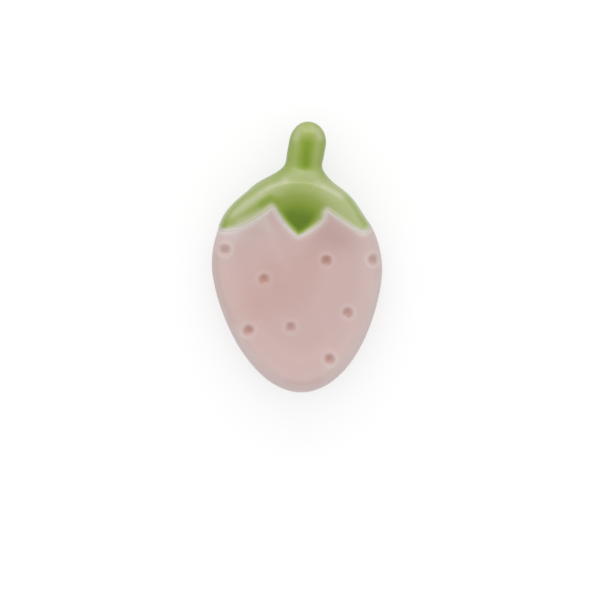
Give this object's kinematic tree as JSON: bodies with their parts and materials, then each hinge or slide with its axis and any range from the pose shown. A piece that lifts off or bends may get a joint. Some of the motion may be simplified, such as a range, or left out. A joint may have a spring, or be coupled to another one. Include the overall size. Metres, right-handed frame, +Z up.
{
  "type": "chopstick rest",
  "caption": "Ceramic chopstick rest shaped as a strawberry, with a dished pink berry marked by seed pits, a raised green leaf collar with pointed sepals and a short stalk.",
  "frame": {"origin": "middle of the bounding box, on the table under the foot", "axes": "+Y from the berry's tip towards the stalk, +X to the right seen from above, +Z up"},
  "size_m": [0.0332, 0.0528, 0.012],
  "materials": {
    "clay": "matte",
    "pink_glaze": "gloss",
    "green_glaze": "gloss"
  },
  "bodies": {
    "root": {"berry_body": "clay", "leaf_cap": "clay", "stalk": "clay", "berry_glaze": "pink_glaze", "leaf_glaze": "green_glaze"}
  },
  "joints": []
}
